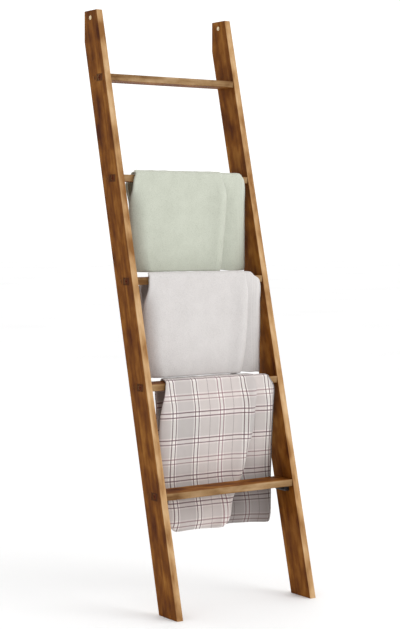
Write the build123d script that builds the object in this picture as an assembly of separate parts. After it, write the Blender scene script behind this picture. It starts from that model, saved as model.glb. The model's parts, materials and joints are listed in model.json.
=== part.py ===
from build123d import *
import math
import os

# Leaning ladder towel rack: two plank rails, five flat rungs, three draped textiles.
#
# Millimetres, +Z up, +X to the right, +Y towards the wall that the rack leans on.
# The origin is on the floor, midway between the rails and midway between the front
# of the feet and the wall.

# ---- overall ----
HEIGHT = 1650.0            # floor to the level top of the rails
WIDTH = 468.0              # outside to outside of the rails
LEAN_DEG = 13.85           # lean of the rails from upright

# ---- rails ----
RAIL_THICK = 20.0          # along X
RAIL_WIDTH = 84.0          # square to the rail's length
BEVEL_HEIGHT = 87.0        # upright flat at the top that rests on the wall
RAIL_EASE = 1.5            # rounding of the rail's edges, all but the foot's front and back
STRAP_HOLE_DIA = 12.0      # through hole near the top, for a wall cord or hook
STRAP_HOLE_DROP = 21.0     # its centre below the rail's top

# ---- rungs ----
RUNG_THICK = 19.0
RUNG_DEPTH = 76.0          # front to back, lying level
RUNG_SETBACK = 1.0         # the rung's front behind the rail's front edge
RUNG_EASE = 2.0
FIRST_RUNG_Z = 312.0       # centre of the lowest rung
RUNG_PITCH = 286.0
RUNG_NAMES = ["bottom_rung", "lower_rung", "middle_rung", "upper_rung", "top_rung"]

# ---- joinery: one connector bolt, its insert and one dowel at each rung end ----
BOLT_BACK = 28.0           # bolt axis behind the rung's front
BOLT_DIA = 6.0
BOLT_HEAD_DIA = 17.0
BOLT_HEAD_THICK = 3.0
BOLT_REACH = 26.0          # shank past the rail's inner face
HEX_KEY = 4.0              # socket across flats
HEX_DEPTH = 1.8
HEAD_RECESS = 4.2          # counterbore depth in the rail
HEAD_CLEARANCE = 0.4       # counterbore radius over the head
SHANK_CLEARANCE = 0.25     # rail hole radius over the shank
INSERT_DIA = 10.0
INSERT_LENGTH = 15.0
INSERT_SINK = 0.5          # insert's mouth below the rung's end
BOLT_TIP_ROOM = 2.0        # hole beyond the bolt's tip
DOWEL_BACK = 52.0          # dowel axis behind the rung's front
DOWEL_DIA = 12.0
DOWEL_REACH = 30.0         # into the rung's end
DOWEL_RECESS = 0.6         # end sunk below the rail's outer face
DOWEL_TIP_ROOM = 1.0
DOWEL_CHAMFER = 0.4

# ---- corner blocks under the bottom rung ----
BLOCK_X = 17.0
BLOCK_DEPTH = 46.0
BLOCK_HEIGHT = 15.0
BLOCK_CHAMFER = 5.0        # lower inner edge
BLOCK_EASE = 0.8
SCREW_DIA = 3.5
SCREW_HEAD_DIA = 6.5
SCREW_HEAD_THICK = 2.0
SCREW_BITE = 11.0          # hole into the wood
SCREW_TIP_ROOM = 0.5       # hole beyond the screw's tip
SIDE_SCREW_UP = 2.0        # side screw above the block's middle
UP_SCREW_BACK = 38.0       # behind the rung's front, clear of the insert and the dowel
TIP_LENGTH, TIP_DIA = 3.0, 1.0
SLOT_LENGTH, SLOT_WIDTH, SLOT_DEPTH = 4.0, 0.8, 1.0
SCREW_PITCH = 26.0         # between the two that go into the rail

# ---- textiles ----
CLOTH_GAP = 0.6            # between a textile and the wood it hangs on
TOWEL_THICK = 9.0          # folded double
THROW_THICK = 8.0
GREEN_LEFT, GREEN_RIGHT = 28.0, 15.0      # gaps to the rails' inner faces
WHITE_LEFT, WHITE_RIGHT = 30.0, 6.0
THROW_LEFT, THROW_RIGHT = 30.0, 12.0
TOWEL_ABOVE_NEXT = 2.0     # the front flap's hem above the textile below
GREEN_BACK_DROP = 268.0    # back flap below the rung's top
WHITE_BACK_DROP = 262.0
THROW_FRONT_DROP = 408.0
THROW_BACK_DROP = 330.0
THROW_TUCK = 2.5           # room where the throw passes behind the bottom rung
THROW_SLOPE_START = 12.0   # below the rung that it hangs on
THROW_SLOPE_END = 14.0     # above the rung that it passes behind
CLOTH_ROUND = 5.0          # outer rounding where the cloth turns over a rung

# ---- worked out ----
TAN = math.tan(math.radians(LEAN_DEG))
RAIL_LEVEL_WIDTH = RAIL_WIDTH / math.cos(math.radians(LEAN_DEG))
FULL_DEPTH = (HEIGHT - BEVEL_HEIGHT) * TAN + RAIL_LEVEL_WIDTH
INNER_HALF = WIDTH / 2 - RAIL_THICK
RUNG_Z = [FIRST_RUNG_Z + RUNG_PITCH * i for i in range(len(RUNG_NAMES))]
SIDES = {"left": -1, "right": 1}


def front_y(z):
    """Y of the rails' front edge at height z."""
    return -FULL_DEPTH / 2 + z * TAN


def rung_front(zc):
    """Y of the front face of the rung whose centre is at height zc."""
    return front_y(zc + RUNG_THICK / 2) + RUNG_SETBACK


def cylinder_x(dia, x0, x1, y, z):
    """Round bar along X between two X values."""
    bar = Cylinder(dia / 2, abs(x1 - x0), rotation=(0, 90, 0))
    return Pos((x0 + x1) / 2, y, z) * bar


def save(name, solids):
    """Write one node, with its solids kept apart."""
    node = solids[0] if len(solids) == 1 else Compound(label=name, children=solids)
    node.label = name
    export_step(node, os.path.join("parts", name + ".step"))


def rail_blank(side):
    """Plank with a level foot, a level top and an upright flat against the wall."""
    y_foot, y_wall = front_y(0), FULL_DEPTH / 2
    outline = Polyline(
        (y_foot, 0), (y_foot + RAIL_LEVEL_WIDTH, 0), (y_wall, HEIGHT - BEVEL_HEIGHT),
        (y_wall, HEIGHT), (front_y(HEIGHT), HEIGHT), close=True)
    face = make_face(Plane.YZ * outline)
    plank = Pos(side * INNER_HALF, 0, 0) * extrude(face, side * RAIL_THICK)
    foot_ends = [e for e in plank.edges().filter_by(Axis.X) if e.center().Z < RAIL_EASE]
    return fillet([e for e in plank.edges() if e not in foot_ends], RAIL_EASE)


def strap_hole(side):
    y = (front_y(HEIGHT) + FULL_DEPTH / 2) / 2
    return cylinder_x(STRAP_HOLE_DIA, side * (INNER_HALF - 1), side * (WIDTH / 2 + 1),
                      y, HEIGHT - STRAP_HOLE_DROP)


def rail(side):
    """Rail with its strap hole and, at each rung, a counterbored bolt hole and a dowel hole."""
    body = rail_blank(side) - strap_hole(side)
    inner, outer = side * (INNER_HALF - 1), side * (WIDTH / 2 + 1)
    seat = side * (WIDTH / 2 - HEAD_RECESS)
    for zc in RUNG_Z:
        y = rung_front(zc)
        body -= cylinder_x(BOLT_DIA + 2 * SHANK_CLEARANCE, inner, outer, y + BOLT_BACK, zc)
        body -= cylinder_x(BOLT_HEAD_DIA + 2 * HEAD_CLEARANCE, seat, outer, y + BOLT_BACK, zc)
        body -= cylinder_x(DOWEL_DIA, inner, outer, y + DOWEL_BACK, zc)
    for path in side_screw_paths(side):
        body -= path
    return body


def rung(zc):
    """Level board between the rails, bored at both ends."""
    y = rung_front(zc)
    board = Pos(0, y + RUNG_DEPTH / 2, zc) * Box(2 * INNER_HALF, RUNG_DEPTH, RUNG_THICK)
    board = fillet(board.edges().filter_by(Axis.X), RUNG_EASE)
    for side in SIDES.values():
        end = side * INNER_HALF
        mouth = end - side * (INSERT_SINK + INSERT_LENGTH)
        tip = end - side * (BOLT_REACH + BOLT_TIP_ROOM)
        board -= cylinder_x(INSERT_DIA, end, mouth, y + BOLT_BACK, zc)
        board -= cylinder_x(BOLT_DIA + 2 * SHANK_CLEARANCE, end, tip, y + BOLT_BACK, zc)
        board -= cylinder_x(DOWEL_DIA, end, end - side * (DOWEL_REACH + DOWEL_TIP_ROOM),
                            y + DOWEL_BACK, zc)
    return board


def bolt(side, zc):
    """Flat-headed furniture connector bolt with a hexagon socket."""
    y = rung_front(zc) + BOLT_BACK
    seat = side * (WIDTH / 2 - HEAD_RECESS)
    crown = seat + side * BOLT_HEAD_THICK
    head = cylinder_x(BOLT_HEAD_DIA, seat, crown, y, zc)
    head = fillet(head.edges().filter_by(GeomType.CIRCLE).sort_by(Axis.X)[-1 if side > 0 else 0],
                  BOLT_HEAD_THICK / 3)
    shank = cylinder_x(BOLT_DIA, side * (INNER_HALF - BOLT_REACH), seat, y, zc)
    across = RegularPolygon(HEX_KEY / 2, 6, major_radius=False)
    socket = extrude(Plane((crown, y, zc), z_dir=(-side, 0, 0)) * across, HEX_DEPTH)
    return head + shank - socket


def insert(side, zc):
    """Threaded bush in the rung's end that the bolt screws into."""
    y = rung_front(zc) + BOLT_BACK
    mouth = side * (INNER_HALF - INSERT_SINK)
    deep = mouth - side * INSERT_LENGTH
    return (cylinder_x(INSERT_DIA, mouth, deep, y, zc)
            - cylinder_x(BOLT_DIA, mouth + side, deep - side, y, zc))


def dowel(side, zc):
    """Through dowel that stops the rung from turning."""
    y = rung_front(zc) + DOWEL_BACK
    peg = cylinder_x(DOWEL_DIA, side * (INNER_HALF - DOWEL_REACH),
                     side * (WIDTH / 2 - DOWEL_RECESS), y, zc)
    return chamfer(peg.edges().filter_by(GeomType.CIRCLE), DOWEL_CHAMFER)


def block_middle(side):
    """Middle of the corner block, hard against the rail and the bottom rung."""
    return (side * (INNER_HALF - BLOCK_X / 2),
            rung_front(RUNG_Z[0]) + RUNG_DEPTH / 2,
            RUNG_Z[0] - RUNG_THICK / 2 - BLOCK_HEIGHT / 2)


def side_screw_paths(side):
    """Holes of the two screws that go from the block's inner face into the rail."""
    _, y, z = block_middle(side)
    return [cylinder_x(SCREW_DIA, side * (INNER_HALF - BLOCK_X - 1),
                       side * (INNER_HALF + SCREW_BITE), y + dy, z + SIDE_SCREW_UP)
            for dy in (-SCREW_PITCH / 2, SCREW_PITCH / 2)]


def up_screw_foot(side):
    """Underside of the block where the screw into the bottom rung starts.

    The screw passes between the rung's insert and its dowel.
    """
    x, _, z = block_middle(side)
    return x, rung_front(RUNG_Z[0]) + UP_SCREW_BACK, z - BLOCK_HEIGHT / 2


def up_screw_path(side):
    """Hole of the screw that goes up through the block into the bottom rung."""
    length = BLOCK_HEIGHT + SCREW_BITE
    return Pos(*up_screw_foot(side)) * Pos(0, 0, (length - 1) / 2) * Cylinder(SCREW_DIA / 2, length + 1)


def bottom_rung(zc):
    """The bottom rung is a rung with pilot holes in its underside for the corner blocks."""
    board = rung(zc)
    for side in SIDES.values():
        board -= up_screw_path(side)
    return board


def corner_block(side):
    """Moulded block in the corner under the bottom rung, with sunk screw heads."""
    x, y, z = block_middle(side)
    block = Pos(x, y, z) * Box(BLOCK_X, BLOCK_DEPTH, BLOCK_HEIGHT)
    low_edges = block.edges().filter_by(Axis.Y).sort_by(Axis.Z)[:2]
    block = chamfer(low_edges.sort_by(Axis.X)[0 if side > 0 else -1], BLOCK_CHAMFER)
    block = fillet(block.faces().filter_by(Plane.XZ).edges(), BLOCK_EASE)
    inner_face = x - side * BLOCK_X / 2
    sink_end = inner_face + side * SCREW_HEAD_THICK
    for path in side_screw_paths(side):
        block -= path
        block -= cylinder_x(SCREW_HEAD_DIA, inner_face - side, sink_end,
                            path.center().Y, z + SIDE_SCREW_UP)
    block -= up_screw_path(side)
    sink = Cylinder(SCREW_HEAD_DIA / 2, 2 * SCREW_HEAD_THICK)
    return block - Pos(*up_screw_foot(side)) * sink


def pan_screw(length):
    """Screw along +Z with its head's flat top at the origin and a cross slot in it."""
    head = Pos(0, 0, SCREW_HEAD_THICK / 2) * Cylinder(SCREW_HEAD_DIA / 2, SCREW_HEAD_THICK)
    shank = Pos(0, 0, (length - TIP_LENGTH) / 2) * Cylinder(SCREW_DIA / 2, length - TIP_LENGTH)
    tip = Pos(0, 0, length - TIP_LENGTH / 2) * Cone(SCREW_DIA / 2, TIP_DIA / 2, TIP_LENGTH)
    slot = Box(SLOT_LENGTH, SLOT_WIDTH, 2 * SLOT_DEPTH) + Box(SLOT_WIDTH, SLOT_LENGTH, 2 * SLOT_DEPTH)
    return head + shank + tip - slot


def block_screws(side):
    """The corner block's three screws, as separate solids."""
    x, y, z = block_middle(side)
    up = pan_screw(BLOCK_HEIGHT + SCREW_BITE - SCREW_TIP_ROOM)
    across = Rot(0, side * 90, 0) * pan_screw(BLOCK_X + SCREW_BITE - SCREW_TIP_ROOM)
    screws = [Pos(*up_screw_foot(side)) * up]
    for dy in (-SCREW_PITCH / 2, SCREW_PITCH / 2):
        screws.append(Pos(x - side * BLOCK_X / 2, y + dy, z + SIDE_SCREW_UP) * across)
    return screws


def drape(zc, front_drop, back_drop, thick, left_gap, right_gap, front_bends=()):
    """Closed solid of a folded textile hung over a rung, as an upside-down U.

    front_bends are extra (y, z) points of the front flap's inner side, lowest first.
    """
    top = zc + RUNG_THICK / 2
    y_front = rung_front(zc) - CLOTH_GAP
    y_back = rung_front(zc) + RUNG_DEPTH + CLOTH_GAP
    z_in = top + CLOTH_GAP
    z_out = z_in + thick
    front_inner = list(front_bends) or [(y_front, top - front_drop)]
    inner = front_inner + [(y_front, z_in), (y_back, z_in), (y_back, top - back_drop)]
    outer = [(y_back + thick, top - back_drop), (y_back + thick, z_out), (y_front - thick, z_out)]
    outer += [(y - thick, z) for y, z in reversed(front_inner)]
    face = make_face(Plane.YZ * Polyline(*inner, *outer, close=True))
    x0 = -INNER_HALF + left_gap
    x1 = INNER_HALF - right_gap
    cloth = Pos(x0, 0, 0) * extrude(face, x1 - x0)
    turns = [e for e in cloth.edges().filter_by(Axis.X) if abs(e.center().Z - z_out) < 1e-6]
    return fillet(turns, CLOTH_ROUND)


def towel(index, thick, back_drop, left_gap, right_gap):
    """Towel whose front flap ends just above the textile on the next rung down."""
    zc = RUNG_Z[index]
    next_top = RUNG_Z[index - 1] + RUNG_THICK / 2 + CLOTH_GAP + thick
    front_drop = zc + RUNG_THICK / 2 - next_top - TOWEL_ABOVE_NEXT
    return drape(zc, front_drop, back_drop, thick, left_gap, right_gap)


def throw(index):
    """Throw whose front flap leans back to pass behind the rung below."""
    zc, z_next = RUNG_Z[index], RUNG_Z[index - 1]
    behind = rung_front(z_next) + RUNG_DEPTH + THROW_TUCK + THROW_THICK
    bends = [(behind, zc + RUNG_THICK / 2 - THROW_FRONT_DROP),
             (behind, z_next + RUNG_THICK / 2 + THROW_SLOPE_END),
             (rung_front(zc) - CLOTH_GAP, zc - RUNG_THICK / 2 - THROW_SLOPE_START)]
    return drape(zc, THROW_FRONT_DROP, THROW_BACK_DROP, THROW_THICK,
                 THROW_LEFT, THROW_RIGHT, bends)


def build():
    """Every node by name, each as one solid or a list of separate solids."""
    nodes = {}
    for name, side in SIDES.items():
        nodes[name + "_rail"] = rail(side)
        nodes[name + "_rung_bolts"] = [bolt(side, zc) for zc in RUNG_Z]
        nodes[name + "_bolt_inserts"] = [insert(side, zc) for zc in RUNG_Z]
        nodes[name + "_rung_dowels"] = [dowel(side, zc) for zc in RUNG_Z]
        nodes[name + "_corner_block"] = corner_block(side)
        nodes[name + "_block_screws"] = block_screws(side)
    for name, zc in zip(RUNG_NAMES, RUNG_Z):
        nodes[name] = bottom_rung(zc) if name == "bottom_rung" else rung(zc)
    nodes["plaid_throw"] = throw(1)
    nodes["white_towel"] = towel(2, TOWEL_THICK, WHITE_BACK_DROP, WHITE_LEFT, WHITE_RIGHT)
    nodes["green_towel"] = towel(3, TOWEL_THICK, GREEN_BACK_DROP, GREEN_LEFT, GREEN_RIGHT)
    return nodes


def main():
    os.makedirs("parts", exist_ok=True)
    for name, shape in build().items():
        solids = shape if isinstance(shape, list) else [shape]
        save(name, [s for part in solids for s in part.solids()])


main()
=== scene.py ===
import json
import math
import bpy
from mathutils import Matrix, Vector, noise


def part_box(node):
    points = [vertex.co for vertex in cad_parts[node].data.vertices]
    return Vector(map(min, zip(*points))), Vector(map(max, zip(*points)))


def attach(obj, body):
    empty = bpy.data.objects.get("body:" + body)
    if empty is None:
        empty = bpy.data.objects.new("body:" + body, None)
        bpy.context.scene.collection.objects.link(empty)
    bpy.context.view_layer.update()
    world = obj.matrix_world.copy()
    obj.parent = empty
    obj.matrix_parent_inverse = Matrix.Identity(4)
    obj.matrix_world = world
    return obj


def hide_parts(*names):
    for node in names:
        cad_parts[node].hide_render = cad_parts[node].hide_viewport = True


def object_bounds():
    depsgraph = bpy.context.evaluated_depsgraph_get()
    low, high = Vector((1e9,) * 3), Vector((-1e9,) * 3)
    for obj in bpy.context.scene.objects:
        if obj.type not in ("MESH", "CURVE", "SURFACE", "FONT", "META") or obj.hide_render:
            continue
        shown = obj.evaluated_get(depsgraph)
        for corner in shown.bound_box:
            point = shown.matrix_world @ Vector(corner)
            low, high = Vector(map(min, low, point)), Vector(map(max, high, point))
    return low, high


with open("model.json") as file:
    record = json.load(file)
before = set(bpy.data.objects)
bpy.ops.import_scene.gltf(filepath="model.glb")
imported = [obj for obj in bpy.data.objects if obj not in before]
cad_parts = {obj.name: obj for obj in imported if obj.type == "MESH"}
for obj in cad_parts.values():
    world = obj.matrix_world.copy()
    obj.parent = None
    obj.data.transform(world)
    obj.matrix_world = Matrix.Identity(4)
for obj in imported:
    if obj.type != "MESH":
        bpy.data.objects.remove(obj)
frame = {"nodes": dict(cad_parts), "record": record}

# Leaning ladder towel rack. Metres, +Z up, +Y towards the wall, the CAD's own frame.
# The boards, bolts, dowels, blocks and screws are the CAD nodes with procedural
# materials. The two towels and the throw are draped, folded sheets made here.

CAD_LOW, CAD_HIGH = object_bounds()
MM = 0.001

# ---- studio ----
CAMERA_AT = (-2.5640, -3.6604, 1.0428)
CAMERA_YAW = 35.06             # degrees to the right of +Y, level
CAMERA_LENS = 90.55
CAMERA_DROP = -0.1444          # vertical shift
FLOOR_RADIUS = 40.0
WORLD_DIM, WORLD_BRIGHT = 0.36, 0.80    # towards -X and towards +X
WORLD_FROM, WORLD_TO = -0.8, 0.40       # X of the direction where it is dim and bright
WORLD_ABOVE, WORLD_BEHIND = 0.50, 0.40  # more from overhead and from behind the rack
KEY_AT, KEY_SIZE, KEY_POWER = (2.6, -4.2, 2.4), 3.0, 75.0

# ---- cloth ----
TERRY, PLAID = 2.4 * MM, 1.5 * MM      # thickness of one layer
CELL = 5.0 * MM                        # grid spacing along and across the cloth
FOLD_CELLS = 12                        # round the folded edge


# ------------------------------------------------------------------ small helpers
def curve_value(points, at):
    """Smooth value through given (place, value) points, which are in rising order."""
    if at <= points[0][0]:
        return points[0][1]
    if at >= points[-1][0]:
        return points[-1][1]
    i = next(k for k in range(1, len(points)) if at <= points[k][0])
    (x0, y0), (x1, y1) = points[i - 1], points[i]
    step = x1 - x0
    rise = (y1 - y0) / step
    before = rise if i == 1 else (y1 - points[i - 2][1]) / (x1 - points[i - 2][0])
    after = rise if i == len(points) - 1 else (points[i + 1][1] - y0) / (points[i + 1][0] - x0)
    t = (at - x0) / step
    a, b = t * t * (3 - 2 * t), t * (1 - t)
    return y0 * (1 - a) + y1 * a + step * b * ((1 - t) * before - t * after)


def smoothstep(low, high, value):
    t = min(max((value - low) / (high - low), 0.0), 1.0)
    return t * t * (3 - 2 * t)


def linear(r, g, b):
    """Scene-linear colour of an sRGB colour given in 0 to 255."""
    def one(c):
        c /= 255
        return c / 12.92 if c <= 0.04045 else ((c + 0.055) / 1.055) ** 2.4
    return one(r), one(g), one(b), 1.0


# ------------------------------------------------------------------ node helpers
class Nodes:
    """A new material's node tree, with short calls for the nodes used here."""

    def __init__(self, name):
        self.material = bpy.data.materials.new(name)
        self.material.use_nodes = True
        self.tree = self.material.node_tree
        self.shader = self.tree.nodes["Principled BSDF"]

    def add(self, kind, **values):
        node = self.tree.nodes.new(kind)
        for key, value in values.items():
            setattr(node, key, value)
        return node

    def feed(self, socket, value):
        if isinstance(value, bpy.types.NodeSocket):
            self.tree.links.new(value, socket)
        else:
            socket.default_value = value

    def math(self, operation, *values, clamp=False):
        node = self.add("ShaderNodeMath", operation=operation, use_clamp=clamp)
        for socket, value in zip(node.inputs, values):
            self.feed(socket, value)
        return node.outputs[0]

    def object_place(self, scale=(1, 1, 1), turn=(0, 0, 0), shift=(0, 0, 0)):
        place = self.add("ShaderNodeTexCoord").outputs["Object"]
        return self.mapped(place, scale, turn, shift)

    def mapped(self, vector, scale=(1, 1, 1), turn=(0, 0, 0), shift=(0, 0, 0)):
        node = self.add("ShaderNodeMapping")
        self.feed(node.inputs["Vector"], vector)
        node.inputs["Scale"].default_value = scale
        node.inputs["Rotation"].default_value = turn
        node.inputs["Location"].default_value = shift
        return node.outputs[0]

    def noise(self, vector, scale, detail=3.0, rough=0.5):
        node = self.add("ShaderNodeTexNoise")
        self.feed(node.inputs["Vector"], vector)
        node.inputs["Scale"].default_value = scale
        node.inputs["Detail"].default_value = detail
        node.inputs["Roughness"].default_value = rough
        return node.outputs["Fac"]

    def ramp(self, value, stops, interpolation="LINEAR"):
        node = self.add("ShaderNodeValToRGB")
        self.feed(node.inputs[0], value)
        elements = node.color_ramp.elements
        node.color_ramp.interpolation = interpolation
        while len(elements) < len(stops):
            elements.new(1.0)
        for element, (place, colour) in zip(elements, stops):
            element.position = place
            element.color = colour
        return node.outputs[0]

    def mix(self, factor, a, b, blend="MIX"):
        node = self.add("ShaderNodeMix", data_type="RGBA", blend_type=blend)
        for socket, value in zip(MIX_COLOUR_IN, (factor, a, b)):
            self.feed(node.inputs[socket], value)
        return node.outputs[MIX_COLOUR_OUT]

    def bump(self, height, strength, distance, after=None):
        node = self.add("ShaderNodeBump")
        node.inputs["Strength"].default_value = strength
        node.inputs["Distance"].default_value = distance
        self.feed(node.inputs["Height"], height)
        if after is not None:
            self.feed(node.inputs["Normal"], after)
        return node.outputs[0]

    def finish(self, colour, roughness, normal=None, **sockets):
        self.feed(self.shader.inputs["Base Color"], colour)
        self.feed(self.shader.inputs["Roughness"], roughness)
        if normal is not None:
            self.feed(self.shader.inputs["Normal"], normal)
        for key, value in sockets.items():
            self.shader.inputs[key.replace("_", " ")].default_value = value
        return self.material


MIX_COLOUR_IN, MIX_COLOUR_OUT = (0, 6, 7), 2   # the Mix node's sockets for colours


# ------------------------------------------------------------------ wood
RAIL_LEAN = math.atan2(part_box("top_rung")[0].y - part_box("bottom_rung")[0].y,
                       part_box("top_rung")[0].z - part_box("bottom_rung")[0].z)


def wood(name, turn, seed, face, edge, hole=None):
    """Board with its grain along the turned frame's Z.

    face holds the broad faces' dark, middle and light colours, and edge those of the
    narrow faces, which are paler: painted shade on the broad faces and painted light on
    the narrow ones. A rail also has a drilled hole at (y, z), whose wall is painted near
    white as a painted light, and dark patches round its bolts.
    """
    n = Nodes(name)
    place = n.object_place(turn=turn, shift=(seed, seed * 0.7, seed * 1.3))
    drift = n.noise(n.mapped(place, scale=DRIFT_SCALE), 1.0, 3.0)
    across = n.add("ShaderNodeSeparateXYZ")
    n.feed(across.inputs[0], place)
    line = n.math("ADD", n.math("MULTIPLY", across.outputs[1], RINGS_Y),
                  n.math("MULTIPLY", across.outputs[0], RINGS_X))
    line = n.math("ADD", line, n.math("MULTIPLY", drift, RING_DRIFT))
    ring = n.math("SINE", line)
    fibre = n.noise(n.mapped(place, scale=FIBRE_SCALE), 1.0, 4.0, 0.65)
    streak = n.noise(n.mapped(place, scale=STREAK_SCALE), 1.0, 3.0, 0.5)
    cloud = n.noise(n.mapped(place, scale=CLOUD_SCALE), 1.0, 4.0)
    tone = n.math("ADD", n.math("MULTIPLY", ring, RING_SHARE),
                  n.math("MULTIPLY", fibre, FIBRE_SHARE))
    tone = n.math("ADD", tone, n.math("MULTIPLY", streak, STREAK_SHARE))
    tone = n.math("ADD", tone, n.math("MULTIPLY", cloud, CLOUD_SHARE))
    tone = n.math("SUBTRACT", tone, TONE_LEVEL)
    knot = n.add("ShaderNodeTexVoronoi")
    n.feed(knot.inputs["Vector"], n.mapped(place, scale=KNOT_SCALE))
    knot.inputs["Scale"].default_value = 1.0
    from_knot = n.math("MULTIPLY", knot.outputs["Distance"], KNOT_TIGHT)
    dark = n.math("SUBTRACT", 1.0, n.math("SMOOTH_MIN", from_knot, 1.0, KNOT_SOFT))
    tone = n.math("SUBTRACT", tone, n.math("MULTIPLY", dark, KNOT_SHARE))
    broad = n.ramp(tone, list(zip(FACE_STOPS, face)))
    narrow = n.ramp(tone, list(zip(EDGE_STOPS, edge)))
    normal = n.add("ShaderNodeSeparateXYZ")
    n.feed(normal.inputs[0], n.add("ShaderNodeNewGeometry").outputs["Normal"])
    sideways = n.math("ABSOLUTE", normal.outputs[1])
    narrow_share = n.math("SMOOTH_MIN", sideways, 1.0, EDGE_SOFT, clamp=True)
    colour = n.mix(narrow_share, broad, narrow)
    if hole:
        from_hole = n.add("ShaderNodeVectorMath", operation="DISTANCE")
        flat = n.mapped(n.object_place(), scale=(0, 1, 1))
        n.feed(from_hole.inputs[0], flat)
        from_hole.inputs[1].default_value = (0, *hole)
        # The hole's wall is painted near white: painted light, as if light showed through the
        # hole.
        inside = n.math("LESS_THAN", from_hole.outputs["Value"], HOLE_WALL)
        colour = n.mix(inside, colour, HOLE_PAINTED_LIGHT)
        colour = n.mix(joint_patch(n), colour, PATCH_BROWN)
    relief = n.math("ADD", n.math("MULTIPLY", fibre, 0.6), n.math("MULTIPLY", streak, 0.4))
    rough = n.math("ADD", n.math("MULTIPLY", fibre, 0.25), WOOD_ROUGHNESS)
    return n.finish(colour, rough, n.bump(relief, 0.5, 0.6 * MM), Specular_IOR_Level=OILED_SHINE)


def joint_patch(n):
    """Share of dark wood round each bolt, on the rails' outer faces.

    The places repeat from rung to rung, so each point is moved to the nearest of them.
    """
    first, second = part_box("bottom_rung")[0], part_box("lower_rung")[0]
    pitch_y, pitch_z = second.y - first.y, second.z - first.z
    split = n.add("ShaderNodeSeparateXYZ")
    n.feed(split.inputs[0], n.object_place())
    x, y, z = split.outputs
    up = n.math("SUBTRACT", z, first.z + PATCH_UP)
    rung = n.math("ROUND", n.math("DIVIDE", up, pitch_z))
    back = n.math("SUBTRACT", y, first.y + PATCH_BACK)
    back = n.math("SUBTRACT", back, n.math("MULTIPLY", rung, pitch_y))
    up = n.math("SUBTRACT", up, n.math("MULTIPLY", rung, pitch_z))
    wide = n.math("DIVIDE", n.math("ABSOLUTE", back), PATCH_WIDE / 2)
    high = n.math("DIVIDE", n.math("ABSOLUTE", up), PATCH_HIGH / 2)
    within = n.math("SUBTRACT", 1.0, n.math("MAXIMUM", wide, high))
    within = n.math("MULTIPLY", within, PATCH_CRISP, clamp=True)
    outer = n.math("GREATER_THAN", n.math("ABSOLUTE", x), CAD_HIGH.x - 1 * MM)
    has_rung = n.math("GREATER_THAN", rung, -0.5)
    return n.math("MULTIPLY", n.math("MULTIPLY", within, outer),
                  n.math("MULTIPLY", has_rung, PATCH_SHARE))


# The broad faces' browns are painted shade and the narrow faces' tans painted light: one wood in a
# shaded and a lit copy, picked by the way each face turns.
SHADED_BROWN = [linear(76, 32, 2), linear(122, 70, 16), linear(158, 104, 42)]
LIT_TAN = [linear(140, 96, 52), linear(186, 146, 100), linear(212, 178, 136)]
LIT_RUNG_TAN = [linear(104, 70, 36), linear(150, 118, 80), linear(178, 148, 112)]
HOLE_PAINTED_LIGHT, PATCH_BROWN = linear(255, 244, 220), linear(60, 26, 3)

# Grain: scales along the board's X, Y and Z, and each pattern's share of the tone.
DRIFT_SCALE, FIBRE_SCALE, STREAK_SCALE = (7, 7, 1.3), (420, 420, 9), (55, 55, 2.4)
CLOUD_SCALE, KNOT_SCALE = (30, 30, 13), (16, 16, 6.5)
RINGS_X, RINGS_Y, RING_DRIFT = 210.0, 330.0, 40.0
RING_SHARE, FIBRE_SHARE, STREAK_SHARE, CLOUD_SHARE = 0.025, 0.30, 0.32, 0.95
TONE_LEVEL = 0.285                       # brings the sum back to about a half
KNOT_TIGHT, KNOT_SOFT, KNOT_SHARE = 3.2, 0.2, 0.30
FACE_STOPS, EDGE_STOPS = (0.25, 0.5, 0.72), (0.27, 0.5, 0.72)
EDGE_SOFT = 0.1
WOOD_ROUGHNESS, OILED_SHINE = 0.45, 0.08

# Strap hole, its wall painted near white as a painted light, and bolt patches. A patch's place is
# from its rung's lowest front corner.
HOLE_WALL = 6.2 * MM
PATCH_UP, PATCH_BACK, PATCH_WIDE, PATCH_HIGH = 9.5 * MM, 28 * MM, 34 * MM, 23 * MM
PATCH_CRISP, PATCH_SHARE = 6.0, 0.75


def dress_wood():
    upright = (RAIL_LEAN, 0, 0)
    holes = {mount["name"]: mount["pos_m"][1:] for mount in frame["record"]["mounts"]}
    for index, side in enumerate(("left", "right")):
        paint(side + "_rail", wood("wood_" + side + "_rail", upright, 1.7 + 3.1 * index,
                                   SHADED_BROWN, LIT_TAN, holes[side + "_strap_hole"]))
        paint(side + "_rung_dowels", end_grain("wood_" + side + "_dowels"))
    for index, name in enumerate(RUNGS):
        paint(name, wood("wood_" + name, (0, math.pi / 2, 0), 2.3 + 1.9 * index,
                         SHADED_BROWN, LIT_RUNG_TAN))


def end_grain(name):
    """A dowel's cut end: short specks, no grain along it."""
    n = Nodes(name)
    grain = n.noise(n.object_place(), 900.0, 3.0)
    colour = n.ramp(grain, [(0.3, linear(84, 44, 10)), (0.7, linear(116, 70, 26))])
    return n.finish(colour, 0.6, n.bump(grain, 0.4, 0.3 * MM), Specular_IOR_Level=OILED_SHINE)


# ------------------------------------------------------------------ metal and plastic
def worn_metal(name, base, bright, roughness, metallic=0.9, shine=0.5):
    """Coated or bare metal with fine scratches and a little wear."""
    n = Nodes(name)
    place = n.object_place()
    speck = n.noise(place, 800.0, 4.0, 0.6)
    scratch = n.noise(n.mapped(place, scale=(60, 2600, 200)), 1.0, 2.0)
    colour = n.ramp(speck, [(0.45, base), (0.80, bright)])
    rough = n.math("ADD", n.math("MULTIPLY", scratch, 0.2), roughness)
    return n.finish(colour, rough, n.bump(scratch, 0.15, 0.1 * MM), Metallic=metallic,
                    Specular_IOR_Level=shine)


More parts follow.
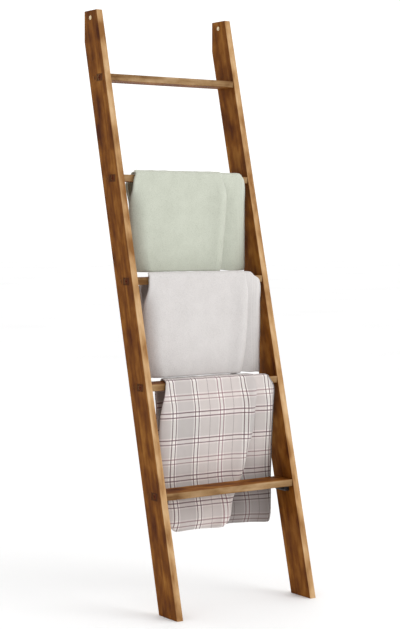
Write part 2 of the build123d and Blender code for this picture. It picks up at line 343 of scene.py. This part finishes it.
def moulded(name):
    """Black moulded plastic with a spark-eroded texture."""
    n = Nodes(name)
    grain = n.noise(n.object_place(), 1500.0, 4.0, 0.6)
    cloud = n.noise(n.object_place(), 60.0, 3.0)
    colour = n.ramp(cloud, [(0.3, linear(10, 6, 9)), (0.7, linear(22, 14, 18))])
    return n.finish(colour, 0.55, n.bump(grain, 0.35, 0.2 * MM))


def paint(node, material):
    """Give a CAD node its material, through its own slots."""
    shown = frame["nodes"][node]
    for place in shown.material_slots:
        place.material = material


def dress_hardware():
    bronze = worn_metal("bronzed_bolt_steel", linear(84, 34, 6), linear(120, 62, 22), 0.6,
                        metallic=0.0, shine=0.12)
    screw = worn_metal("black_screw_steel", linear(30, 28, 30), linear(96, 92, 90), 0.30)
    brass = worn_metal("insert_brass", linear(168, 140, 78), linear(206, 182, 120), 0.25)
    block = moulded("corner_block_plastic")
    for side in ("left", "right"):
        paint(side + "_rung_bolts", bronze)
        paint(side + "_bolt_inserts", brass)
        paint(side + "_block_screws", screw)
        paint(side + "_corner_block", block)


# ------------------------------------------------------------------ draped cloth
# Each textile is folded in half side to side, with that fold on the left, and in half
# again end to end, with that fold at the front hem. So it is one sheet that lies four
# deep: an outer and an inner pass over the rung, each with an under and a top layer.

class Hang:
    """Where one textile hangs: its rung, its hems and the profiles of its edges.

    The profiles are (way, x) points. way is the distance round the rung from the middle
    of its top, positive towards the front hem and negative towards the back hem. behind
    is where the front flap bends to pass behind a lower rung: the heights between which
    it moves back, and the y it then hangs at. ripples and hem_lift are (x, width, height)
    of soft bumps, across the flap and along the front hem.
    """

    def __init__(self, rung, layer, front, back, left, right, top_right, **more):
        low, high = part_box(rung)
        self.front_y, self.back_y, self.top = low.y, high.y, high.z
        self.middle = (low.y + high.y) / 2
        self.half = (high.y - low.y) / 2
        self.layer, self.front, self.back = layer, front, back
        self.left, self.right, self.top_right = left, right, top_right
        self.behind = more.get("behind")
        self.ripples = more.get("ripples", [])
        self.puff = more["puff"]
        self.curl = more["curl"]
        self.seed = more["seed"]
        self.hem_lift = more.get("hem_lift", [])
        self.corner = more["corner"]
        self.left_fall = more["left_fall"]
        self.right_fall = more["right_fall"]
        self.crown = more["crown"]
        self.valley = more["valley"]
        self.drift = more.get("drift", [(0, 0), (1, 0)])

    def way(self, y, z):
        """Signed distance round the rung of the point (y, z)."""
        if z > self.top:
            return min(max(self.middle - y, -self.half), self.half)
        down = self.half + self.top - z
        return down if y < self.middle else -down

    def flap(self, offset):
        """Corners (y, z) of the front flap, from the rung down, at an offset from the wood."""
        y = self.front_y - offset
        hem = self.top - self.front
        if self.behind is None:
            return [(y, hem)]
        start, stop, back = self.behind
        return [(y, start), (back - offset, stop), (back - offset, hem)]

    def rows(self):
        """Places along the folded pair's middle: outer pass, turn at the hem, inner pass."""
        near = WOOD_GAP + self.layer * INNER_LAYERS
        far = near + self.layer * OUTER_LAYERS
        corner = CORNER_ROUND
        outer = [(self.back_y + far, self.top - self.back), (self.back_y + far, self.top + far),
                 (self.front_y - far, self.top + far)] + self.flap(far)
        inner = self.flap(near)[::-1] + [
            (self.front_y - near, self.top + near), (self.back_y + near, self.top + near),
            (self.back_y + near, self.top - self.back + self.layer)]
        turn = (far - near) / 2
        bends = [FLAP_BEND] * (len(self.flap(0)) - 1)
        radii = [corner + far, corner + far] + bends + [turn, turn] + bends
        radii += [corner + near, corner + near]
        return trace(outer + inner, radii)


def trace(points, radii):
    """(y, z, dy, dz) along a line through the points with each corner rounded."""
    places = [Vector(p) for p in points]
    out, start = [], places[0]
    for before, at, after, radius in zip(places, places[1:], places[2:], radii):
        a, b = (at - before).normalized(), (after - at).normalized()
        turn = a.angle_signed(b)
        reach = radius * math.tan(abs(turn) / 2)
        enter, leave = at - a * reach, at + b * reach
        out += straight(start, enter)
        side = Vector((-a.y, a.x)) * (-1 if turn > 0 else 1)
        centre = enter + side * radius
        steps = max(2, round(abs(turn) / ARC_STEP), round(abs(turn) * radius / CELL))
        for k in range(steps):
            angle = -turn * (k + 0.5) / steps
            spin = Matrix.Rotation(angle, 2)
            out.append((*(centre + spin @ (enter - centre)), *(spin @ a)))
        start = leave
    out += straight(start, places[-1])
    return out


def straight(start, stop):
    run = stop - start
    if run.length < CELL / 4:
        return []
    steps = max(1, round(run.length / CELL))
    way = run.normalized()
    return [(*(start + run * (k / steps)), *way) for k in range(steps + 1)]


def drape(name, hang):
    """Mesh of the folded sheet, with the cloth's own widths and lengths as its UVs."""
    rows = hang.rows()
    inner = [i / (len(rows) - 1) for i in range(len(rows))]
    across = 2 * round((hang.right[0][1] - hang.left[0][1]) / CELL / 2)
    places, cloth = [], []
    run = -(hang.back + hang.half)
    for i, (y, z, dy, dz) in enumerate(rows):
        if i:
            run += math.hypot(y - rows[i - 1][0], z - rows[i - 1][1])
        way = hang.way(y, z)
        for x, offset, u in section(hang, way, smoothstep(*TURN_SPAN, inner[i]), across):
            py, pz = y + dz * offset, z - dy * offset
            if way > 0:                  # the rolled edge must not reach the towel below
                pz = max(pz, hang.top - hang.front - HEM_DROP)
            places.append(settle(hang, x, py, pz, way))
            cloth.append((u, run))
    width = len(places) // len(rows)
    faces = [(r * width + c, r * width + c + 1, (r + 1) * width + c + 1, (r + 1) * width + c)
             for r in range(len(rows) - 1) for c in range(width - 1)]
    mesh = bpy.data.meshes.new(name)
    mesh.from_pydata(places, [], faces)
    layer = mesh.uv_layers.new(name="cloth")
    for loop in mesh.loops:
        layer.data[loop.index].uv = cloth[loop.vertex_index]
    for face in mesh.polygons:
        face.use_smooth = True
    piece = bpy.data.objects.new(name, mesh)
    bpy.context.scene.collection.objects.link(piece)
    thicken(piece, hang.layer, len(rows), width)
    return piece


def section(hang, way, inner, across):
    """(x, offset, u) across the folded pair: under layer, fold, top layer."""
    left = curve_value(hang.left, way) + INNER_LEFT * inner
    right = curve_value(hang.right, way) + STAGGER * (inner - 1)
    top_right = curve_value(hang.top_right, way) + STAGGER * inner
    hem = hang.half + hang.front - way
    if hem < hang.corner:
        cut = 1 - math.sqrt(max(0.0, 1 - (1 - max(hem, 0.0) / hang.corner) ** 2))
        top_right -= hang.corner * cut
        left += CORNER_LEFT * hang.corner * cut
        right -= CORNER_RIGHT * hang.corner * cut
    over = smoothstep(hang.half - LOOSE_FROM, hang.half + LOOSE_TO, abs(way))
    mark = MARK_AT - curve_value(hang.drift, way)
    out = []
    fold_x = left + FOLD_DEPTH
    for k in range(across + 1):
        x = right + (fold_x - right) * k / across
        out.append((x, -lift(hang, x - left, over), mark - x))
    high = lift(hang, fold_x - left, over)
    for k in range(1, FOLD_CELLS):
        angle = math.pi * k / FOLD_CELLS
        x = fold_x - FOLD_DEPTH * math.sin(angle)
        out.append((x, -high * math.cos(angle), (2 * k / FOLD_CELLS - 1) * FOLD_DEPTH))
    for k in range(across + 1):
        x = fold_x + (top_right - fold_x) * k / across
        roll = rolled(top_right - x) * hang.curl * over * (1 - inner)
        out.append((x, lift(hang, x - left, over) + roll, x - mark))
    return out


def rolled(from_edge):
    """The free edge's soft roll: proud of the layer below, and level further in."""
    if from_edge < ROLL_WIDTH:
        share = max(from_edge, 0) / ROLL_WIDTH
        return math.sqrt(share * (2 - share)) * (1 - ROLL_EDGE) + ROLL_EDGE
    return math.exp(-((from_edge - ROLL_WIDTH) / ROLL_REACH) ** 2)


def lift(hang, from_fold, over):
    """Half the distance between the under and the top layer."""
    puff = hang.puff * math.exp(-max(from_fold - FOLD_DEPTH, 0) / PUFF_REACH)
    return hang.layer * HALF_GAP + puff * (TOP_PUFF + (1 - TOP_PUFF) * over)


def settle(hang, x, y, z, way):
    """The small falls, ripples and creases that all four layers share."""
    side = 1 if way > 0 else -1
    down = max(hang.top - z, 0.0)
    free = smoothstep(RUNG_CLEAR, FREE_BY, down)
    left = curve_value(hang.left, way)
    right = curve_value(hang.right, way)
    fall = hang.left_fall * max(0.0, 1 - (x - left) / LEFT_FALL_REACH) ** 2
    fall += hang.right_fall * max(0.0, 1 - (right - x) / RIGHT_FALL_REACH) ** 2
    ripple = sum(high * math.exp(-((x - at) / wide) ** 2) for at, wide, high in hang.ripples)
    beyond = x - curve_value(hang.top_right, way) - VALLEY_SHIFT
    ripple -= hang.valley * math.exp(-(beyond / VALLEY_REACH) ** 2)
    broad = noise.noise(Vector((x * BROAD_X, z * BROAD_Z, hang.seed + side)))
    fine = noise.noise(Vector((x * FINE_X, z * FINE_Z, hang.seed + 7 * side)))
    push = fall - ripple + BROAD_HIGH * broad
    y += side * push * free - side * abs(fine) * FINE_HIGH * smoothstep(0, FINE_BY, down)
    lift_z = sum(high * math.exp(-((x - at) / wide) ** 2) for at, wide, high in hang.hem_lift)
    if way > 0:
        z += lift_z * smoothstep(HEM_REACH, 0.0, hang.half + hang.front - way)
    if down == 0.0:
        z += TOP_CREASE * (fine + TOP_RAISE)
    crown = math.exp(-((hang.middle - y - CROWN_AT) / CROWN_WIDTH) ** 2)
    z += hang.crown * crown * smoothstep(CROWN_DEPTH, 0.0, down)
    return x, y, z


def thicken(piece, layer, rows, width):
    """Gives the sheet its thickness, fuller in the hems and thin at the raw edge."""
    group = piece.vertex_groups.new(name="thickness")
    for r in range(rows):
        for c in range(width):
            edge = min(r, c, rows - 1 - r, width - 1 - c)
            weight = RAW_EDGE if edge == 0 else 1.0 if edge <= HEM_CELLS else PLAIN_CLOTH
            group.add([r * width + c], weight, "REPLACE")
    solid = piece.modifiers.new("thickness", "SOLIDIFY")
    solid.thickness = layer
    solid.offset = 0.0
    solid.vertex_group = group.name


# The passes round the rung, in layers from the wood and from each other.
WOOD_GAP, INNER_LAYERS, OUTER_LAYERS = 0.5 * MM, 1.1, 2.3
CORNER_ROUND, FLAP_BEND, ARC_STEP = 3.0 * MM, 120 * MM, math.radians(16)
TURN_SPAN = (0.48, 0.52)                 # share of the path where outer becomes inner
HALF_GAP = 0.56                          # from a pair's middle to a layer, in layers

# The fold, the free edges and the hem's corners.
FOLD_DEPTH, PUFF_REACH, TOP_PUFF = 6.0 * MM, 22 * MM, 0.25
ROLL_WIDTH, ROLL_REACH, ROLL_EDGE = 14 * MM, 26 * MM, 0.5
INNER_LEFT, STAGGER = 2.0 * MM, 5.0 * MM
CORNER_LEFT, CORNER_RIGHT = 0.4, 0.3
LOOSE_FROM, LOOSE_TO = 5 * MM, 60 * MM   # before and after the rung's edge
MARK_AT = -182 * MM                      # where the cloth's u is counted from

# Falls, creases and the raised crown.
LEFT_FALL_REACH, RIGHT_FALL_REACH = 40 * MM, 22 * MM
VALLEY_SHIFT, VALLEY_REACH = 4 * MM, 24 * MM
RUNG_CLEAR, FREE_BY = 21 * MM, 90 * MM
BROAD_X, BROAD_Z, BROAD_HIGH = 9, 5, 2.0 * MM
FINE_X, FINE_Z, FINE_HIGH, FINE_BY = 46, 22, 0.7 * MM, 20 * MM
TOP_CREASE, TOP_RAISE = 0.8 * MM, 0.4
CROWN_AT, CROWN_WIDTH, CROWN_DEPTH = 30 * MM, 18 * MM, 30 * MM
HEM_REACH, HEM_DROP = 120 * MM, 1.8 * MM

# Thickness: the share at a raw edge, and of plain cloth beside the doubled hem.
HEM_CELLS, RAW_EDGE, PLAIN_CLOTH = 2, 0.35, 0.8


def profile(*points):
    """Edge profile: (way, x) given in millimetres, rising in way."""
    return [(way * MM, x * MM) for way, x in points]


def green_towel():
    hang = Hang("upper_rung", TERRY, front=0.2698, back=0.268,
                left=profile((-310, -155), (-64, -155), (-38, -138), (0, -150), (36, -178),
                             (68, -187), (214, -182), (310, -170)),
                right=profile((-310, 165), (0, 168), (36, 188), (50, 198), (110, 203.5),
                              (160, 204.2), (310, 203.5)),
                top_right=profile((-310, 100), (0, 106), (38, 114), (100, 130), (160, 127),
                                  (240, 119), (310, 112)),
                puff=1.6 * MM, curl=12 * MM, valley=8 * MM, crown=2.5 * MM, seed=3.0,
                corner=10 * MM, left_fall=24 * MM, right_fall=5 * MM,
                hem_lift=[(0.158, 0.030, -0.0038), (0.200, 0.020, -0.0020)],
                ripples=[(-0.06, 0.05, 0.002)])
    piece = drape("green_terry_towel", hang)
    piece.data.materials.append(terry("green_terry", linear(183, 187, 172), linear(211, 215, 201)))
    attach(piece, "green_towel")
    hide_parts("green_towel")


def white_towel():
    hang = Hang("middle_rung", TERRY, front=0.2738, back=0.262,
                left=profile((-310, -156), (-66, -156), (-38, -124), (0, -146), (34, -178),
                             (60, -181), (126, -186), (250, -181), (316, -172)),
                right=profile((-310, 160), (0, 160), (36, 176), (50, 200), (110, 206),
                              (190, 207.5), (246, 205), (316, 206)),
                top_right=profile((-310, 120), (0, 135), (38, 148), (106, 155), (161, 155),
                                  (230, 150), (316, 132)),
                puff=1.6 * MM, curl=12 * MM, valley=8 * MM, crown=4.0 * MM, seed=11.0,
                corner=10 * MM, left_fall=24 * MM, right_fall=5 * MM,
                hem_lift=[(0.172, 0.028, -0.0038), (0.208, 0.012, -0.0060)],
                ripples=[(-0.07, 0.06, 0.002)])
    piece = drape("white_terry_towel", hang)
    piece.data.materials.append(terry("white_terry", linear(200, 196, 194), linear(224, 220, 218)))
    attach(piece, "white_towel")
    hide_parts("white_towel")


def plaid_throw():
    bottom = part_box("bottom_rung")[1]
    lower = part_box("lower_rung")[0]
    hang = Hang("lower_rung", PLAID, front=0.4080, back=0.330,
                left=profile((-370, -150), (-62, -150), (-38, -132), (0, -150), (36, -170),
                             (57, -173), (136, -182), (209, -182), (297, -168), (373, -154),
                             (450, -145)),
                right=profile((-370, 168), (0, 168), (38, 182), (57, 197), (72, 202),
                              (115, 204), (450, 204)),
                top_right=profile((-370, 110), (0, 122), (60, 132), (122, 136), (189, 130),
                                  (247, 113), (307, 98), (380, 64), (450, 60)),
                behind=(lower.z - 0.012, bottom.z + 0.014, bottom.y + 0.0105),
                puff=1.2 * MM, curl=13 * MM, valley=9 * MM, crown=3.0 * MM, seed=23.0,
                corner=42 * MM, left_fall=10 * MM, right_fall=4 * MM,
                hem_lift=[(0.200, 0.060, -0.008)],
                drift=profile((38, 14), (60, 11), (120, 0), (300, 0), (380, -14), (420, -16),
                              (450, -8)),
                ripples=[(-0.09, 0.03, -0.0015)])
    piece = drape("plaid_cotton_throw", hang)
    piece.data.materials.append(plaid())
    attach(piece, "plaid_throw")
    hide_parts("plaid_throw")


# ------------------------------------------------------------------ cloth materials
def terry(name, shade, light):
    """Cotton terry: loops a couple of millimetres apart, with flat lines by the side hem."""
    n = Nodes(name)
    place = n.add("ShaderNodeUVMap").outputs[0]
    loops = n.add("ShaderNodeTexVoronoi")
    n.feed(loops.inputs["Vector"], place)
    loops.inputs["Scale"].default_value = LOOP_SCALE
    fuzz = n.noise(place, TERRY_FUZZ_SCALE, 3.0, 0.7)
    cloud = n.noise(place, TERRY_CLOUD_SCALE, 4.0, 0.6)
    split = n.add("ShaderNodeSeparateXYZ")
    n.feed(split.inputs[0], place)
    from_hem = n.math("DIVIDE", n.math("ADD", split.outputs[0], HEM_AT), HEM_BAND)
    bare, piled = (1, 1, 1, 1), (0, 0, 0, 1)
    stops = [(at, bare if k % 2 else piled) for k, at in enumerate(HEM_LINES)]
    lines = n.ramp(from_hem, stops, "CONSTANT")
    pile = n.math("SUBTRACT", 1.0, loops.outputs["Distance"])
    pile = n.math("SUBTRACT", pile, n.math("MULTIPLY", lines, 0.6))
    height = n.math("ADD", n.math("MULTIPLY", pile, 0.8), n.math("MULTIPLY", fuzz, 0.5))
    # The gaps between the loops come out darker: painted shade in the pile's hollows, beside a
    # random cloud of tone.
    tone = n.math("ADD", n.math("MULTIPLY", height, 0.5), n.math("MULTIPLY", cloud, 0.38))
    colour = n.ramp(tone, [(0.30, shade), (0.90, light)])
    colour = n.mix(n.math("MULTIPLY", lines, 0.5), colour, light)
    normal = n.bump(height, 0.40, 1.2 * MM)
    return n.finish(colour, 0.95, n.bump(cloud, 0.25, 4 * MM, normal), Sheen_Weight=0.25,
                    Sheen_Roughness=0.6, Specular_IOR_Level=0.2)


LOOP_SCALE, TERRY_FUZZ_SCALE, TERRY_CLOUD_SCALE = 520.0, 1400.0, 22.0
HEM_AT, HEM_BAND = 388 * MM, 40 * MM     # the side hem's band, from the middle fold
HEM_LINES = (0.0, 0.30, 0.42, 0.58, 0.66, 0.76, 0.84)   # bare and piled by turns


def sett_ramp(n, value, sett, period):
    """Repeating stripes from (colour, width in mm) pairs, along one set of threads."""
    share = n.math("FRACT", n.math("DIVIDE", value, period * MM))
    stops, at = [], 0.0
    for colour, width in sett:
        stops.append((at / period, colour))
        at += width
    return n.ramp(share, stops, "CONSTANT")


def sett(base, cool, pale, dark, rose, between):
    """Stripes of one set of threads: two dark doubles, a light one and the gaps between.

    between holds the five gaps' widths. A gap of no width leaves its single stripe out.
    """
    double = [(pale, 4.0), (dark, 3.2), (pale, 8.9), (dark, 3.2), (pale, 4.0)]
    light_double = [(rose if colour is dark else colour, width) for colour, width in double]
    first, second, third, fourth, fifth = between
    stripes = double + [(cool, first)] + double + [(base, second)]
    stripes += [(dark, 1.0), (base, third)] if third else []
    stripes += light_double + [(base, fourth)]
    return stripes + ([(dark, 1.0), (base, fifth)] if fifth else [])


def plaid():
    """Woven check: stripes of the warp and of the weft, mixed thread by thread."""
    base, cool, pale = linear(226, 216, 212), linear(211, 203, 200), linear(244, 238, 233)
    dark, rose = linear(116, 86, 94), linear(184, 152, 155)
    warp = sett(base, cool, pale, dark, rose, WARP_GAPS)
    base, cool, pale = (0.86, 0.86, 0.86, 1), (0.79, 0.80, 0.80, 1), (1, 1, 1, 1)
    dark, rose = (0.30, 0.22, 0.24, 1), (0.54, 0.43, 0.44, 1)
    weft = sett(base, cool, pale, dark, rose, WEFT_GAPS)
    n = Nodes("plaid_cotton")
    place = n.add("ShaderNodeUVMap").outputs[0]
    split = n.add("ShaderNodeSeparateXYZ")
    n.feed(split.inputs[0], place)
    across, along = split.outputs[0], split.outputs[1]
    warp_colour = sett_ramp(n, n.math("ADD", across, WARP_START), warp, sum(w for _, w in warp))
    weft_colour = sett_ramp(n, n.math("ADD", along, WEFT_START), weft, sum(w for _, w in weft))
    thread = n.math("SINE", n.math("MULTIPLY", n.math("ADD", across, along), THREADS))
    cross = n.math("SINE", n.math("MULTIPLY", n.math("SUBTRACT", across, along), THREADS))
    colour = n.mix(1.0, warp_colour, weft_colour, "MULTIPLY")
    cloud = n.noise(place, 30.0, 4.0, 0.6)
    colour = n.mix(n.math("MULTIPLY", cloud, PLAID_CLOUD), colour, linear(150, 142, 140))
    # Painted shade: the under layer, past the fold, is darkened towards near black down to the
    # hem.
    under_layer = n.math("LESS_THAN", across, -UNDER_LAYER_FROM)
    low = n.math("DIVIDE", n.math("SUBTRACT", along, PAINTED_SHADE_FROM), PAINTED_SHADE_OVER, clamp=True)
    painted_shade = n.math("MULTIPLY", n.math("MULTIPLY", under_layer, low), 1 - PAINTED_SHADE_KEEP)
    colour = n.mix(painted_shade, colour, linear(28, 24, 24))
    weave = n.math("MULTIPLY", thread, cross)
    fuzz = n.noise(place, 900.0, 3.0, 0.7)
    normal = n.bump(n.math("ADD", weave, fuzz), 0.35, 0.4 * MM)
    return n.finish(colour, 0.92, normal, Sheen_Weight=0.2, Sheen_Roughness=0.6,
                    Specular_IOR_Level=0.2)


WARP_GAPS, WEFT_GAPS = (53.3, 30.5, 28.6, 28.5, 28.6), (50.5, 30.2, 0, 24.9, 0)   # mm
WARP_START, WEFT_START = -28.0 * MM, -130.3 * MM
THREADS = 2 * math.pi / (1.6 * MM)
PLAID_CLOUD = 0.22
# The under layer, past the fold, is the cloth's other face. Its lower part is painted darker down
# to the hem: painted shade, as if it hung back in shadow.
UNDER_LAYER_FROM, PAINTED_SHADE_KEEP = 10 * MM, 0.45
PAINTED_SHADE_FROM, PAINTED_SHADE_OVER = 240 * MM, 150 * MM


# ------------------------------------------------------------------ studio
def studio():
    scene = bpy.context.scene
    scene.view_settings.view_transform = "Standard"
    lens = bpy.data.cameras.new("camera")
    lens.sensor_width = 36.0
    lens.lens = CAMERA_LENS
    lens.shift_y = CAMERA_DROP
    camera = bpy.data.objects.new("camera", lens)
    camera.location = CAMERA_AT
    camera.rotation_euler = (math.pi / 2, 0, -math.radians(CAMERA_YAW))
    scene.collection.objects.link(camera)
    scene.camera = camera

    bpy.ops.mesh.primitive_circle_add(vertices=96, radius=FLOOR_RADIUS, fill_type="NGON")
    floor = bpy.context.object
    floor.name = "floor"
    n = Nodes("pale_floor")
    mottle = n.noise(n.object_place(), 0.8, 2.0)
    colour = n.ramp(mottle, [(0.3, linear(246, 246, 246)), (0.7, linear(252, 252, 252))])
    floor.data.materials.append(n.finish(colour, 0.8))

    world = bpy.data.worlds.new("soft_studio")
    scene.world = world
    world.use_nodes = True
    tree = world.node_tree
    place = tree.nodes.new("ShaderNodeTexCoord")
    split = tree.nodes.new("ShaderNodeSeparateXYZ")
    reach = tree.nodes.new("ShaderNodeMapRange")
    reach.interpolation_type = "SMOOTHSTEP"
    tree.links.new(place.outputs["Generated"], split.inputs[0])
    tree.links.new(split.outputs[0], reach.inputs["Value"])
    for key, value in (("From Min", WORLD_FROM), ("From Max", WORLD_TO),
                       ("To Min", WORLD_DIM), ("To Max", WORLD_BRIGHT)):
        reach.inputs[key].default_value = value
    strength = reach.outputs[0]
    for axis, more in (("Z", WORLD_ABOVE), ("Y", WORLD_BEHIND)):
        rise = tree.nodes.new("ShaderNodeMath")
        rise.operation = "MAXIMUM"
        tree.links.new(split.outputs[axis], rise.inputs[0])
        rise.inputs[1].default_value = 0.0
        total = tree.nodes.new("ShaderNodeMath")
        total.operation = "MULTIPLY_ADD"
        tree.links.new(rise.outputs[0], total.inputs[0])
        total.inputs[1].default_value = more
        tree.links.new(strength, total.inputs[2])
        strength = total.outputs[0]
    tree.links.new(strength, tree.nodes["Background"].inputs["Strength"])
    tree.nodes["Background"].inputs["Color"].default_value = (1, 1, 1, 1)

    light = bpy.data.lights.new("key", "AREA")
    light.energy = KEY_POWER
    light.size = KEY_SIZE
    key = bpy.data.objects.new("key", light)
    key.location = KEY_AT
    aim = Vector((0, 0, (CAD_LOW.z + CAD_HIGH.z) / 2)) - key.location
    key.rotation_euler = aim.to_track_quat("-Z", "Y").to_euler()
    scene.collection.objects.link(key)


RUNGS = ["bottom_rung", "lower_rung", "middle_rung", "upper_rung", "top_rung"]
studio()
dress_wood()
dress_hardware()
green_towel()
white_towel()
plaid_throw()
